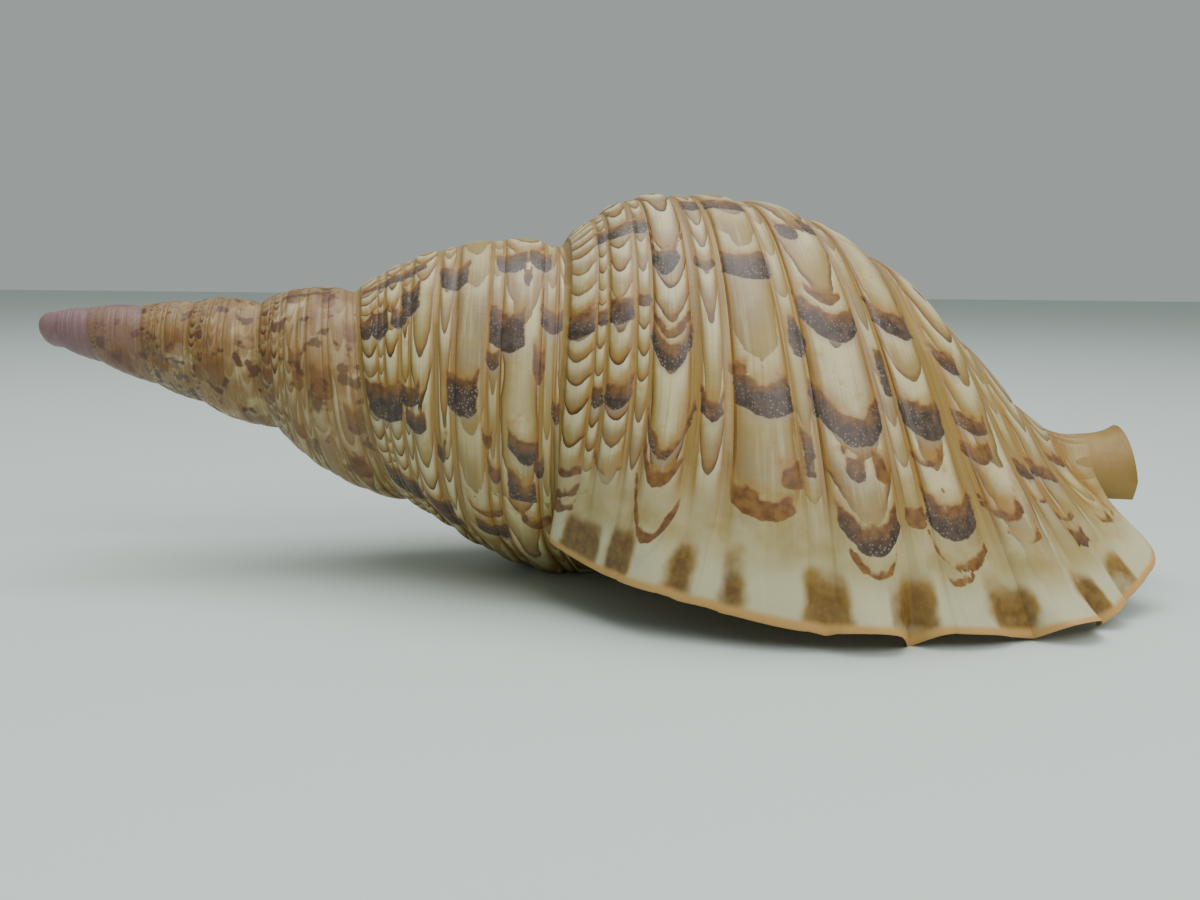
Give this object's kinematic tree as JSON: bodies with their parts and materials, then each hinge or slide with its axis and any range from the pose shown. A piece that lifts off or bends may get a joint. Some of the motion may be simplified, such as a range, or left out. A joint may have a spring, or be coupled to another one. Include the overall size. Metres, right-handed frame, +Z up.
{
  "type": "triton shell",
  "caption": "Long spired sea shell with a wide last whorl, spiral cords, a flared toothed outer lip and a short open canal.",
  "frame": {"origin": "middle of the foot of the bounding box, on the surface the shell lies on", "axes": "+X from the tip of the spire towards the open canal, -Y towards the outer lip, +Z up"},
  "size_m": [0.3234, 0.1428, 0.1123],
  "materials": {
    "shell": "soft gloss, cream ground with purple-brown crescents and ochre streaks"
  },
  "bodies": {
    "root": {"shell": "shell"}
  },
  "joints": []
}
